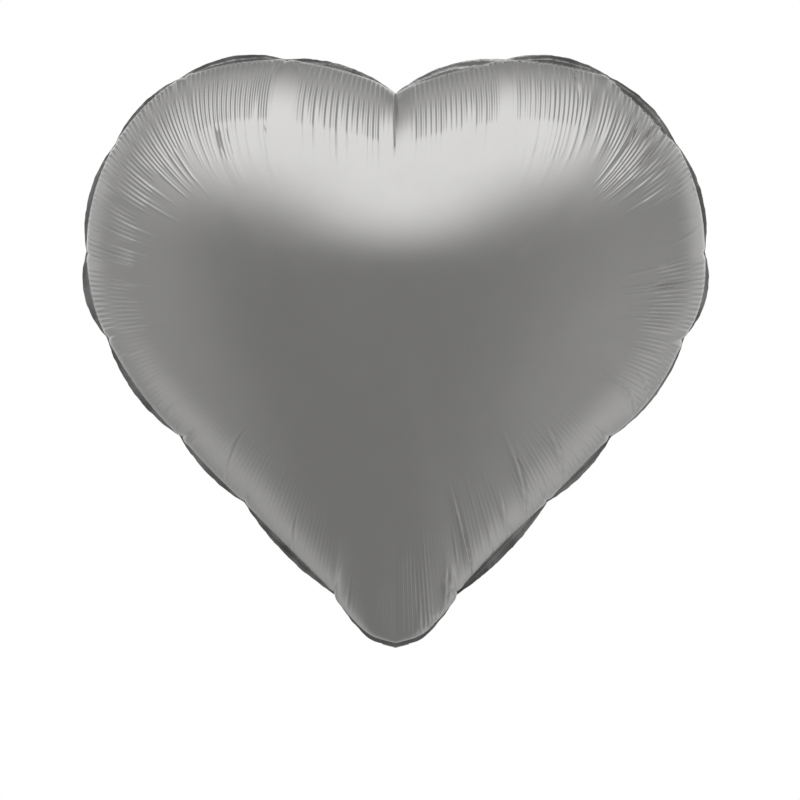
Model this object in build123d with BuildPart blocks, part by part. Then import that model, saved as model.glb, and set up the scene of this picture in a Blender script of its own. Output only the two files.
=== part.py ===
from build123d import *
import os
from math import cos, exp, radians, sin

# A heart-shaped foil balloon, inflated. Two sheets of metallised film are heat sealed to each other
# round a scalloped rim. At the tip the seal is open over the width of the neck, where a flat valve of
# two thin film strips leads from the fill tail into the balloon. The tail is folded up behind the tip.
#
# Frame: +Z up, -Y towards the front of the balloon, X = 0 through the cleft and the tip, Y = 0 on the
# plane of the seal. Z = 0 is at the lowest point of the rim. All sizes are in millimetres.

# ---------------------------------------------------------------- rim and seal
# Right-hand half of the rim, from the cleft to the tip: the places where it is pinched in, and how far
# it bulges out between each of them and the next.
PINCHES = [
    (0, 318),
    (63, 337.5),
    (123, 327),
    (161, 289),
    (177.5, 227),
    (166, 178),
    (124, 121),
    (87, 83),
    (35, 30),
    (0, 0),
]
BULGES = [6.5, 7, 5, 7, 7, 6.5, 3.5, 4, 5]
SEAL_INSET = 3.4  # from a pinch inwards to the line where the two sheets part
TIP_SEAL_INSET = 5.6  # the same at the tip
CLEFT_DIRECTION = (0.9, 0.44)  # the way the seal leaves the cleft
TIP_DIRECTION = (-1, -0.25)  # the way it arrives at the tip
SEAL_END_STIFFNESS = (0.5, 0.35)
FILM = 0.5  # drawn wall of a foil sheet
WELD = 0.4  # drawn thickness of the fused layer between the sheets in the rim

# ---------------------------------------------------------------- inflated shape
HALF_DEPTH = 89.8  # from the fused layer to the fullest point of either side
DOME_CENTRE = 190  # height of the fullest point above the tip
DOME_POWER = 2.6  # fuller at the rim than an ellipsoid, as an inflated flat sheet is
TIP_PULL = 0.62  # how much the levels draw back from the tip, where the balloon is narrow
CLEFT_FILL = 0.22  # how much the valley below the cleft fills out towards the fullest point
CLEFT_FILL_WIDTH = 45
CROWN_ANGLE = 82  # the curve over the top is drawn this far, and the small crown inside is left flat
LEVELS = 11
POINTS_PER_SIDE = 22

# ---------------------------------------------------------------- neck and inner valve
NECK_WIDTH = 15
NECK_TOP = 11  # height at which the sealed neck ends and the free valve begins
CHANNEL_WIDTH = 10  # open way between the two valve films
CHANNEL_GAP = 0.1
PRINT_THICKNESS = 0.04  # heat-proof ink that kept the channel from sealing
PRINT_MARGIN = 0.5
VALVE_WIDTH = 13
VALVE_FILM = 0.15
VALVE_LENGTH = 50
VALVE_CLEARANCE = 0.2  # between the neck and the foot of the free valve
VALVE_CORNER = 2

# ---------------------------------------------------------------- fill tail
FOLD_Y = 1.3  # the crease about which the tail swings, just behind the tip of the rim
FOLD_Z = 1.2
TAIL_LEAN = 36  # degrees back from upright
TAIL_WIDTH = 28
TAIL_LENGTH = 76
SHOULDER_START = 4  # the neck widens into the tail between these distances from the crease
SHOULDER_END = 16
TAIL_CORNER = 5
TAIL_THICKNESS = 0.9
TAIL_FILM = 0.25
TAIL_SEAL = 3
RIBBON_HOLE_RADIUS = 2.5
RIBBON_HOLE_FROM_CREASE = 67
MOUTH_VALVE_END = 58
MOUTH_WELD = 1.2
FIT = 0.2  # play between neighbouring flat pieces of the tail
OVERSHOOT = 1  # how far cutting shapes run past what they cut

LEAN = radians(TAIL_LEAN)
TAIL_PLANE = Plane(
    origin=(0, FOLD_Y, FOLD_Z),
    x_dir=(1, 0, 0),
    z_dir=(0, -cos(LEAN), sin(LEAN)),
)


def export(piece, name):
    """Names a finished piece and writes it out."""
    piece.label = name
    export_step(piece, f"parts/{name}.step")


os.makedirs("parts", exist_ok=True)


# ================================================================ outlines in the plane of the seal
def seal_points():
    """The pinches moved in to the line where the two sheets part, right-hand half."""
    centre = Vector(0, DOME_CENTRE)
    insets = [SEAL_INSET] * (len(PINCHES) - 1) + [TIP_SEAL_INSET]
    points = []
    for pinch, inset in zip(PINCHES, insets):
        inward = (centre - Vector(*pinch)).normalized()
        points.append(Vector(*pinch) + inward * inset)
    return points


with BuildLine() as seal_line:
    Spline(
        *seal_points(),
        tangents=(CLEFT_DIRECTION, TIP_DIRECTION),
        tangent_scalars=SEAL_END_STIFFNESS,
    )
SEAL = seal_line.edge()


def level_point(share, rise, wall):
    """A point of the balloon's outline in from the surface by wall. Rise is 0 at the seal, 1 at the top."""
    reach = SEAL @ share - Vector(0, DOME_CENTRE)
    spread = (1 - rise**2) ** (1 / DOME_POWER) * (reach.length - wall) / reach.length
    if reach.Y > 0:
        spread *= 1 + CLEFT_FILL * rise * exp(-((reach.X / CLEFT_FILL_WIDTH) ** 2))
        pull = 0
    else:
        pull = TIP_PULL * rise * abs(reach.Y) / DOME_CENTRE
    return Vector(reach.X * spread, DOME_CENTRE + reach.Y * spread * (1 - pull))


def level_sketch(level, wall):
    """One level of the balloon as a face, its two halves meeting below the cleft and at the tip."""
    crown = sin(radians(CROWN_ANGLE))
    rise = sin(radians(CROWN_ANGLE * level / (LEVELS - 1)))
    height = WELD / 2 + (HALF_DEPTH - wall) * rise / crown
    shares = [i / POINTS_PER_SIDE for i in range(POINTS_PER_SIDE + 1)]
    right_side = Edge.make_spline(
        [level_point(share, rise, wall) for share in shares],
        parameters=shares,
    )
    with BuildSketch(Plane.XZ.offset(height)) as outline:
        with BuildLine():
            add(right_side)
            mirror(about=Plane.YZ)
        make_face()
    return outline.sketch


def dome(wall):
    """The front half of the inflated shape as one solid, in from the surface by wall."""
    return loft([level_sketch(level, wall) for level in range(LEVELS)])


with BuildSketch(Plane.XZ) as rim_outline:
    with BuildLine():
        for start, end, bulge in zip(PINCHES, PINCHES[1:], BULGES):
            SagittaArc(start, end, bulge)
        mirror(about=Plane.YZ)
    make_face()

seal_outline = level_sketch(0, 0)
outer_dome = dome(0)
inner_dome = dome(FILM)

# ================================================================ foil sheets
# Each sheet is a domed wall, closed along its foot, with its flat share of the rim.
def walls(solid):
    """The lofted faces of a dome, without its flat foot."""
    foot_y = -WELD / 2
    return [face for face in solid.faces() if face.center().Y < foot_y - FILM]


wall_foot = seal_outline.face() - level_sketch(0, FILM).face()
wall = Solid(Shell(walls(outer_dome) + walls(inner_dome) + wall_foot.faces()))

with BuildPart() as front_panel:
    with BuildSketch(Plane.XZ.offset(WELD / 2)):
        add(rim_outline.sketch)
        add(level_sketch(0, FILM / 2), mode=Mode.SUBTRACT)
    extrude(amount=FILM)
    add(wall)
export(front_panel.part, "front_panel")
export(mirror(front_panel.part, about=Plane.XZ), "back_panel")

# ================================================================ seals of the rim and the neck
with BuildPart() as edge_weld:
    with BuildSketch(Plane.XZ.offset(-WELD / 2)):
        add(rim_outline.sketch)
        add(seal_outline, mode=Mode.SUBTRACT)
        with Locations((0, NECK_TOP / 2)):
            Rectangle(NECK_WIDTH, NECK_TOP + OVERSHOOT, mode=Mode.SUBTRACT)
    extrude(amount=WELD)
export(edge_weld.part, "edge_weld")

# The neck's seal carries a short tongue up past the rim, which the free valve hangs on.
with BuildPart() as neck_weld:
    with BuildSketch(Plane.XZ.offset(-WELD / 2)):
        with Locations((0, NECK_TOP / 2)):
            Rectangle(NECK_WIDTH, NECK_TOP)
        add(rim_outline.sketch, mode=Mode.INTERSECT)
        add(seal_outline, mode=Mode.SUBTRACT)
        with Locations((0, (TIP_SEAL_INSET + NECK_TOP) / 2)):
            Rectangle(VALVE_WIDTH, NECK_TOP - TIP_SEAL_INSET + OVERSHOOT)
        with Locations((0, NECK_TOP + OVERSHOOT)):
            Rectangle(NECK_WIDTH, 2 * OVERSHOOT, mode=Mode.SUBTRACT)
    extrude(amount=WELD)
    with Locations((0, 0, NECK_TOP / 2)):
        Box(CHANNEL_WIDTH, CHANNEL_GAP, NECK_TOP + OVERSHOOT, mode=Mode.SUBTRACT)
export(neck_weld.part, "neck_weld")

# The print lies on the back wall of the channel.
with BuildPart() as valve_release_print:
    with Locations((0, (CHANNEL_GAP - PRINT_THICKNESS) / 2, NECK_TOP / 2)):
        Box(
            CHANNEL_WIDTH - 2 * PRINT_MARGIN,
            PRINT_THICKNESS,
            NECK_TOP - 2 * PRINT_MARGIN,
        )
export(valve_release_print.part, "valve_release_print")


# ================================================================ free part of the valve
def valve_strip(width, offset_x):
    """A strip as long as the free valve, drawn in the plane of the seal."""
    with BuildSketch() as strip:
        with Locations((offset_x, NECK_TOP + VALVE_CLEARANCE + VALVE_LENGTH / 2)):
            Rectangle(width, VALVE_LENGTH)
    return strip.sketch


with BuildPart() as valve_front_film:
    with BuildSketch(Plane.XZ.offset(CHANNEL_GAP / 2)):
        add(valve_strip(VALVE_WIDTH, 0))
        fillet(vertices().group_by(Axis.Y)[-1], VALVE_CORNER)
    extrude(amount=VALVE_FILM)
export(valve_front_film.part, "valve_front_film")
export(mirror(valve_front_film.part, about=Plane.XZ), "valve_back_film")

# The films are sealed to each other along both long edges.
VALVE_WELD = (VALVE_WIDTH - CHANNEL_WIDTH) / 2
with BuildPart() as valve_weld_right:
    with BuildSketch(Plane.XZ.offset(-CHANNEL_GAP / 2)):
        add(valve_strip(VALVE_WIDTH, 0))
        fillet(vertices().group_by(Axis.Y)[-1], VALVE_CORNER)
        add(
            valve_strip(VALVE_WELD, (VALVE_WIDTH - VALVE_WELD) / 2),
            mode=Mode.INTERSECT,
        )
    extrude(amount=CHANNEL_GAP)
export(valve_weld_right.part, "valve_weld_right")
export(mirror(valve_weld_right.part, about=Plane.YZ), "valve_weld_left")


# ================================================================ fill tail
# Drawn flat in its own plane, which starts at the crease: x across, y along the tail.
def tail_lane(inset, start, end):
    """The neck widening into the tail, in from both sides by inset, between two distances."""
    neck = NECK_WIDTH / 2 - inset
    full = TAIL_WIDTH / 2 - inset
    with BuildSketch() as lane:
        with BuildLine():
            Polyline(
                (0, start),
                (neck, start),
                (neck, SHOULDER_START),
                (full, SHOULDER_END),
                (full, end),
                (0, end),
            )
            mirror(about=Plane.YZ)
        make_face()
    return lane.sketch


def tail_outline(start):
    """The whole tail with its rounded mouth corners."""
    with BuildSketch() as outline:
        add(tail_lane(0, start, TAIL_LENGTH))
        corners = outline.vertices().group_by(Axis.Y)[-1].sort_by(Axis.X)
        fillet([corners[0], corners[-1]], TAIL_CORNER)
    return outline.sketch


SEAL_HALF = TAIL_THICKNESS / 2 - TAIL_FILM

# The outer sheet ends in the rounded crease that wraps the hinge line.
with BuildPart() as tail_front_film:
    with BuildSketch(TAIL_PLANE.offset(-TAIL_THICKNESS / 2)):
        add(tail_outline(0))
        with Locations((0, RIBBON_HOLE_FROM_CREASE)):
            Circle(RIBBON_HOLE_RADIUS, mode=Mode.SUBTRACT)
    extrude(amount=TAIL_FILM)
    with BuildSketch(Plane(TAIL_PLANE.origin, x_dir=TAIL_PLANE.y_dir, z_dir=TAIL_PLANE.x_dir)):
        Circle(TAIL_THICKNESS / 2)
        Circle(SEAL_HALF, mode=Mode.SUBTRACT)
        with Locations((TAIL_THICKNESS / 2, 0)):
            Rectangle(TAIL_THICKNESS, 2 * TAIL_THICKNESS, mode=Mode.SUBTRACT)
    extrude(amount=NECK_WIDTH / 2, both=True)
export(tail_front_film.part, "tail_front_film")

# The inner sheet lies flat against the other side of the stack.
with BuildPart() as tail_back_film:
    with BuildSketch(TAIL_PLANE.offset(SEAL_HALF)):
        add(tail_outline(FIT))
        with Locations((0, RIBBON_HOLE_FROM_CREASE)):
            Circle(RIBBON_HOLE_RADIUS, mode=Mode.SUBTRACT)
    extrude(amount=TAIL_FILM)
export(tail_back_film.part, "tail_back_film")

# The two sheets are sealed along both sides and open at the mouth.
with BuildPart() as tail_welds:
    with BuildSketch(TAIL_PLANE.offset(-SEAL_HALF)):
        add(tail_outline(FIT))
        add(tail_lane(TAIL_SEAL, -OVERSHOOT, TAIL_LENGTH + OVERSHOOT), mode=Mode.SUBTRACT)
    extrude(amount=2 * SEAL_HALF)
tail_weld_left, tail_weld_right = tail_welds.solids().sort_by(Axis.X)
export(tail_weld_left, "tail_weld_left")
export(tail_weld_right, "tail_weld_right")

# ================================================================ valve inside the tail
with BuildPart() as mouth_front_film:
    with BuildSketch(TAIL_PLANE.offset(-SEAL_HALF)):
        add(tail_lane(TAIL_SEAL + FIT, FIT, MOUTH_VALVE_END))
    extrude(amount=VALVE_FILM)
export(mouth_front_film.part, "mouth_front_film")

with BuildPart() as mouth_back_film:
    with BuildSketch(TAIL_PLANE.offset(SEAL_HALF - VALVE_FILM)):
        add(tail_lane(TAIL_SEAL + FIT, FIT, MOUTH_VALVE_END))
    extrude(amount=VALVE_FILM)
export(mouth_back_film.part, "mouth_back_film")

MOUTH_WELD_INSET = TAIL_SEAL + FIT + MOUTH_WELD
with BuildPart() as mouth_welds:
    with BuildSketch(TAIL_PLANE.offset(VALVE_FILM - SEAL_HALF)):
        add(tail_lane(TAIL_SEAL + FIT, FIT, MOUTH_VALVE_END))
        add(tail_lane(MOUTH_WELD_INSET, -OVERSHOOT, MOUTH_VALVE_END + OVERSHOOT), mode=Mode.SUBTRACT)
    extrude(amount=2 * (SEAL_HALF - VALVE_FILM))
mouth_weld_left, mouth_weld_right = mouth_welds.solids().sort_by(Axis.X)
export(mouth_weld_left, "mouth_weld_left")
export(mouth_weld_right, "mouth_weld_right")
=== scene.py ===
import bmesh
import bpy
import numpy as np
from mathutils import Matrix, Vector
from mathutils.bvhtree import BVHTree


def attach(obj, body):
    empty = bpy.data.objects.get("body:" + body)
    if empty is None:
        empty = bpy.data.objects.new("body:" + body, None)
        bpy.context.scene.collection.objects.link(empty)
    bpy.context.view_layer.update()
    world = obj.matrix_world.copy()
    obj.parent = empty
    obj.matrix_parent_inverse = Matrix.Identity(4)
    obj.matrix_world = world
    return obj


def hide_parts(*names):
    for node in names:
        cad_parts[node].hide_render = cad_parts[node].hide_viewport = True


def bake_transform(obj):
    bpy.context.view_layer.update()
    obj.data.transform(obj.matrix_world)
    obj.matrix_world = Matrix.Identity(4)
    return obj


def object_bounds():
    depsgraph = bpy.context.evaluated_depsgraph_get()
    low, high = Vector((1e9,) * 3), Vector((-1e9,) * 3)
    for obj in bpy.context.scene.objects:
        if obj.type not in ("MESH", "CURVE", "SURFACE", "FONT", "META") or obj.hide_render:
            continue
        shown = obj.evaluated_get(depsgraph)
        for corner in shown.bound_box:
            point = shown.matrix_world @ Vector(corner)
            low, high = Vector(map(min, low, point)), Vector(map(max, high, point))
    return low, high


# A heart-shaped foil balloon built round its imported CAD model. Lengths are in millimetres until a mesh
# is made, and in metres after that. "Around" is the way along the seal, from the cleft over the right
# lobe to the tip and back up the left; "inwards" is the way from the seal to the middle of a panel.
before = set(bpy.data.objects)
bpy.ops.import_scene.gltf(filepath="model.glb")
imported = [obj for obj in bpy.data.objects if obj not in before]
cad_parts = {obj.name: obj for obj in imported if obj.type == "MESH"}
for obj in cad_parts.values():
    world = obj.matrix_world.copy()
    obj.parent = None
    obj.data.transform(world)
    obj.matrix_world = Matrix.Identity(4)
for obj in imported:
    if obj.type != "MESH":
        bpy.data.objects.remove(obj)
CAD_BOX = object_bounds()
MM = 0.001
RNG = np.random.default_rng(18)

# -------- shape of the panels
MIDDLE_Z = 190.0
CAD_WALL = 0.5  # thickness of the CAD sheet
SEAL_ORDER = 26  # of the polynomial that smooths the seal
COLUMNS = 2304  # samples around the seal; halved again and again towards the middle
ROWS = 43
ROW_POWER = 1.22  # rows are closer together at the seal
HALVE_AT = (26, 31, 35, 39, 41)
INNER_ROWS = ((40, 32), (34, 32), (26, 32), (17, 16), (9, 16), (4, 8))  # rows, with their step in columns
LEAN_TO_UPRIGHT = 0.5  # how far the lines running inwards turn towards the vertical
LEAN_AT_TOP = 0.85  # the same along the top of the lobes
STRAIGHT_AT_TOP = 0.8  # keeps them straight there
LEAN_BESIDE_CLEFT = (0.8, 0.4)  # more than that on the left lobe and on the right
UPNESS_FROM = (0.45, 0.85)  # sines of the heights over the middle between which the top begins
FILLED_POWER = 1.3  # 1 gives a round plan an ellipse for its section, and more is fuller
CROWN_SOFTNESS = 0.12  # rounds the top of each lobe
SPARE_DEPTH = 1.0  # room for the wrinkles inside the depth of the CAD model
LOBE_GAP = 0.03  # half of it, between the two lobes where they press on each other
TIP_FULLNESS = 2.2  # the rim is fuller than the CAD's on both sides of the tip
TIP_FULLEST = 15.0
UPRIGHT_WITHIN = 17.0  # of the cleft
# how much of the flange shows beyond the bulging film in the middle of each scallop, from the cleft down,
# on the right lobe and on the left
FLANGE_SHOWN = (
    (4.6, 4.9, 6.2, 2.7, 2.4, 1.3, 3.4, 4.8),
    (3.0, 4.2, 2.1, 2.8, 3.8, 3.1, 2.6, 3.5),
)
SHOWN_AT_PINCH = 0.35
PINCH_CLEAR = 12.0  # of the cleft and of the tip
BULGE_SHARE = 0.78  # share of the bulge that is left at its widest
PINCH_NOTCH = 0.25
PINCH_NOTCH_WIDTH = 2.0
PINCHED_DEPTH = (0.1, 0.6)  # share of the half depth over which the pinches even out
EVEN_OVER = 14.0  # and the distance around the seal
TIP_PUFF = 2.2  # the panel is shallow at the tip, so the film is sent that far past the rim
TIP_PUFFED = (34.0, 48.0)  # within these distances of the tip, around the seal
OVERHANG_HEIGHT = 2.6
OVERHANG_FADE = 2.2  # how fast the overhang is lost as the panel gets deeper
TIP_SLIMNESS = 0.55  # share of the depth taken off at the very tip, and how far from the tip that reaches
TIP_REACH = 85.0
VALLEY = (12.0, 100.0)  # heights over the middle between which the valley below the cleft deepens
VALLEY_SHARE = 0.16
VALLEY_WIDTH = 60.0
CREASE_LENGTH = 52.0  # of the sharp crease in that valley
CREASE_DEPTH = 10.0
CREASE_WIDTH = (0.4, 8.0)  # on the left lobe and on the right
CREASE_SHARE = 0.4  # of the panel's depth, at most
CALM = (0.9, 3.5)  # share that the wrinkles lose at the crease, and how far out
CRUMPLE_HEIGHT = 0.36
REACH_AT_TOP = 1.2  # wrinkles at the top of the lobes are that many times longer
INNER_GAP = 1.5  # between the outer face and the plain inner face
INNER_CREASE = 1.4  # the crease is that many times deeper inside
CROWN_GAP = 1.2

# -------- shape of the rim
FLANGE_SHARES = (1.0, 0.97, 0.86, 0.74, 0.62, 0.5, 0.38, 0.26, 0.14, 0.04)
INNER_SHARES = (0.0, 0.3, 0.6, 0.85, 0.97)
WELD_SHARES = (0.985, 0.8, 0.6, 0.4, 0.2, 0.03)
FLANGE_THICKNESS = 0.2
RIM_THINNING = 0.35  # share of that lost at the very rim
WELD_HALF = 0.2
WELD_STEP = 2  # the weld has one column for so many of the panel's
CRIMP_HEIGHT = 0.4
WAVE_HEIGHT = 1.1
PLEAT_HEIGHT = 0.22
SEAM_ON_DOME = 0.6  # the seam mark is 1 on the flange and falls from this to 0 up the dome

# -------- tail and valve, as drawn in the CAD model; distances along the tail start at the crease
NECK_HALF = 7.5
FOLD = np.array([1.3, 1.2])  # y and z of the crease
TAIL_LEAN = np.radians(36)
TAIL_CLEARANCE = 1.8  # between the middle of the tail and the back foil
ALONG = np.array([np.sin(TAIL_LEAN), np.cos(TAIL_LEAN)])
TO_BALLOON = np.array([-np.cos(TAIL_LEAN), np.sin(TAIL_LEAN)])
TAIL_HALF = 14.0
TAIL_LENGTH = 76.0
SHOULDER = (4.0, 16.0)
TAIL_CORNER = 5.0
TAIL_STRAIGHT = TAIL_LENGTH - TAIL_CORNER
TAIL_SEAL = 3.0
LAYERS_FROM = 2.6  # the layers between the tail's two foils start there
HOLE_AT = 67.0
HOLE_RADIUS = 2.5
HOLE_CELLS = 8  # half the side of the square it is cut from
HOLE_RINGS = 5
CELL = 0.5
MOUTH_END = 58.0
MOUTH_INSET = TAIL_SEAL + 0.2
# the bend at the crease in side view
OUTER_BEND = ((-0.3, 0.9), (-0.3, 0.3), (0.1, -0.35), (0.95, -0.55), (1.75, -0.1), (2.1, 0.9))
INNER_BEND = ((0.3, 0.9), (0.36, 0.15), (0.8, -0.18), (1.25, 0.3), (1.5, 1.3))
LAYER_BEND = ((1.3, 1.2), (1.6, 1.6))
BEND_END = 2.4
FOIL_OFFSET = 0.325  # of each foil from the middle of the tail
FOIL_HALF = 0.09
VALVE_FOOT = 11.2
VALVE_LENGTH = 50.0
VALVE_HALF = 6.5
VALVE_CHANNEL = 5.0  # half the width left open between its side seals
VALVE_CORNER = 2.0


def add_to_scene(thing):
    bpy.context.scene.collection.objects.link(thing)
    return thing


def mesh_object(name, vertices, faces):
    """A smooth mesh from points in millimetres."""
    mesh = bpy.data.meshes.new(name)
    mesh.from_pydata((np.asarray(vertices) * MM).tolist(), [], faces)
    mesh.validate()
    work = bmesh.new()
    work.from_mesh(mesh)
    bmesh.ops.recalc_face_normals(work, faces=work.faces)
    work.to_mesh(mesh)
    work.free()
    mesh.shade_smooth()
    mesh.set_sharp_from_angle(angle=np.radians(50))
    return add_to_scene(bpy.data.objects.new(name, mesh))


# ======== the seal and the rim, from the CAD model
def polar_profile(angles):
    """Distance of the seal and of the rim from the middle of the heart, at each angle."""
    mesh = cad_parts["front_panel"].data
    corners = [vertex.co for vertex in mesh.vertices]
    tree = BVHTree.FromPolygons(corners, [polygon.vertices for polygon in mesh.polygons])
    middle = Vector((0, -0.3 * MM, MIDDLE_Z * MM))  # in the hollow, a little in front of the seal
    far = 1.0  # metres, well outside the heart
    seal, rim = [], []
    for angle in angles:
        way = Vector((np.cos(angle), 0, np.sin(angle)))
        inner_hit = tree.ray_cast(middle, way)
        outer_hit = tree.ray_cast(middle + way * far, -way)
        seal.append(inner_hit[3] / MM + CAD_WALL)
        rim.append((far - outer_hit[3]) / MM)
    return np.array(seal), np.array(rim)


half_angles = np.linspace(np.pi / 2, -np.pi / 2, 1601)
half_seal, half_rim = polar_profile(half_angles)
half_seal = np.polynomial.chebyshev.Chebyshev.fit(half_angles, half_seal, SEAL_ORDER)(half_angles)
half_steps = np.diff(half_seal * np.stack([np.cos(half_angles), np.sin(half_angles)]), axis=1)
half_length = np.concatenate([[0], np.cumsum(np.hypot(*half_steps))])
PERIMETER = 2 * half_length[-1]

AROUND = np.arange(COLUMNS) / COLUMNS * PERIMETER
to_cleft = np.minimum(AROUND, PERIMETER - AROUND)
side = np.where(AROUND < PERIMETER / 2, 1.0, -1.0)
column_angle = np.interp(to_cleft, half_length, half_angles)
heading = np.stack([side * np.cos(column_angle), np.sin(column_angle)])
SEAL = np.interp(to_cleft, half_length, half_seal) * heading
RIM = np.interp(to_cleft, half_length, half_rim) * heading


def outward_ways():
    """Unit vectors square to the seal in its plane, turned smoothly to straight up at the cleft."""
    along = np.roll(SEAL, -1, axis=1) - np.roll(SEAL, 1, axis=1)
    along /= np.hypot(*along)
    upright = np.exp(-((to_cleft / UPRIGHT_WITHIN) ** 2))
    ways = np.stack([-along[1], along[0]]) * (1 - upright)
    ways[1] += upright
    return ways / np.hypot(*ways)


RIM[1] -= TIP_FULLNESS * np.exp(-(((np.abs(RIM[0]) - TIP_FULLEST) / 8) ** 2)) * (RIM[1] < 0)
OUTWARD = outward_ways()


def pinch_places():
    """The places around the seal where the rim comes closest to it, the cleft and the tip left out."""
    gap = np.hypot(*(RIM - SEAL))
    window = COLUMNS // 60
    places = []
    for i in range(COLUMNS):
        near = np.take(gap, range(i - window, i + window + 1), mode="wrap")
        clear = min(to_cleft[i], PERIMETER / 2 - to_cleft[i])
        if gap[i] == near.min() and clear > PINCH_CLEAR:
            places.append(AROUND[i])
    return np.array(places)


PINCHES = pinch_places()


def apart(places, place):
    """Signed distance around the seal from one place to others."""
    return (places - place + PERIMETER / 2) % PERIMETER - PERIMETER / 2


def noise_around(wavelength, octaves):
    """A smooth random curve around the seal, about -1 to 1."""
    total = np.zeros(COLUMNS)
    for octave in range(octaves):
        count = max(3, int(PERIMETER / wavelength * 2**octave))
        knots = RNG.uniform(-1, 1, count)
        place = AROUND / PERIMETER * count
        i = np.floor(place).astype(int)
        t = place - i
        t = t * t * (3 - 2 * t)
        total += (knots[i % count] * (1 - t) + knots[(i + 1) % count] * t) / 2**octave
    return total / 1.5


# ======== how far the gas lifts the panel
class Lift:
    """Height of the inflated panel over any point of the heart.

    A field u with a constant Laplacian that is 0 on the seal has the right plan: it is full in the
    lobes, drawn in along the valley below the cleft, and a wedge at the tip. It is written as a sum
    of logarithms centred just outside the heart, fitted to be 0 on the seal.
    """

    def __init__(self, sources=128, standoff=14.0):
        step = COLUMNS // (sources * 4)
        edge = SEAL[:, ::step]
        self.centres = (SEAL + OUTWARD * standoff)[:, :: step * 4]
        self.scale = 150.0
        basis = np.hstack([self.logs(edge), np.ones((edge.shape[1], 1))])
        target = (edge**2).sum(0) / self.scale**2
        self.weights = np.linalg.lstsq(basis, target, rcond=1e-9)[0]

    def logs(self, points):
        dx = points[0][:, None] - self.centres[0][None, :]
        dz = points[1][:, None] - self.centres[1][None, :]
        return np.log(np.hypot(dx, dz) / self.scale)

    def field(self, points):
        flat = points.reshape(2, -1)
        basis = np.hstack([self.logs(flat), np.ones((flat.shape[1], 1))])
        value = basis @ self.weights - (flat**2).sum(0) / self.scale**2
        return value.reshape(points.shape[1:])


def fade(distance, start, end):
    """1 before start, 0 after end, and smooth between."""
    t = np.clip((distance - start) / (end - start), 0, 1)
    return 1 - t * t * (3 - 2 * t)


UPNESS = 1 - fade(SEAL[1] / np.hypot(*SEAL), *UPNESS_FROM)  # 1 along the top of the lobes


def plan_point(share):
    """Points at a share of the way from the middle to the seal, one for each column."""
    beside_cleft = fade(to_cleft, 35, 150) * UPNESS
    lean = LEAN_TO_UPRIGHT + (LEAN_AT_TOP - LEAN_TO_UPRIGHT) * UPNESS
    lean = lean + beside_cleft * np.where(side < 0, *LEAN_BESIDE_CLEFT)
    x = SEAL[0] * share * (1 + lean * (1 - share) + STRAIGHT_AT_TOP * UPNESS * (1 - share) ** 2)
    z = SEAL[1] * share
    return np.stack([x, z])


def base_surface(half_depth):
    """The smooth panel without creases: arrays of x, depth and z, shaped (rows, columns)."""
    lift = Lift()
    turn = np.pi / 2 * (np.arange(ROWS) / ROWS) ** ROW_POWER
    shares = np.cos(turn) ** (1 / FILLED_POWER)
    near, nearer = 0.90, 0.95
    plan = np.stack([plan_point(share) for share in shares], axis=1)
    field = lift.field(plan)
    top = max(field.max(), lift.field(np.array([[0.0] * 80, np.linspace(-40, 40, 80)])).max())
    # close to the seal the field is carried on from further in, because the fit is least exact there
    steep = [lift.field(plan_point(share)) / (1 - share**2) for share in (near, nearer)]
    slope = (steep[1] - steep[0]) / (nearer - near)
    for row, share in enumerate(shares):
        if share > nearer:
            field[row] = (steep[1] + slope * (share - nearer)) * (1 - share**2)
    fullness = np.clip(field / top, 0, 1)
    from_tip = np.hypot(plan[0], plan[1] - SEAL[1].min())
    slim = 1 - TIP_SLIMNESS * np.exp(-((from_tip / TIP_REACH) ** 1.5))
    in_valley = (1 - fade(plan[1], *VALLEY)) * np.exp(-((plan[0] / VALLEY_WIDTH) ** 2))
    slim = slim * (1 - VALLEY_SHARE * in_valley)
    soft = CROWN_SOFTNESS
    short = ((1 - fullness) ** 2 + soft**2) ** (FILLED_POWER / 2) - soft**FILLED_POWER
    short /= (1 + soft**2) ** (FILLED_POWER / 2) - soft**FILLED_POWER
    return plan, half_depth * slim * np.sqrt(1 - short)


HALF_DEPTH = CAD_BOX[1].y / MM
PLAN, DEPTH = base_surface(HALF_DEPTH - SPARE_DEPTH)


def flange_shown():
    """How much of the flange is not hidden by the bulging film, all the way around."""
    shown = np.full(COLUMNS, SHOWN_AT_PINCH)
    ends = np.concatenate([[0.0], PINCHES[PINCHES < PERIMETER / 2]])
    for lobe, widths in zip((1, -1), FLANGE_SHOWN):
        for start, end, width in zip(ends, ends[1:], widths):
            share = np.clip((to_cleft - start) / (end - start), 0, 1)
            shown += np.where(side == lobe, (width - SHOWN_AT_PINCH) * np.sin(np.pi * share) ** 0.8, 0)
    return shown


def blurred_around(values, wide):
    """Values around the seal, each mixed with those next to it over that distance."""
    waves = np.arange(COLUMNS // 2 + 1) * 2 * np.pi / PERIMETER
    return np.fft.irfft(np.fft.rfft(values) * np.exp(-((waves * wide) ** 2) / 2), COLUMNS)


def keep_lobes_apart(points):
    """The two lobes press on each other below the cleft and neither crosses the middle."""
    points[0] = np.where(points[0] * side < LOBE_GAP, LOBE_GAP * side, points[0])


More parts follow.
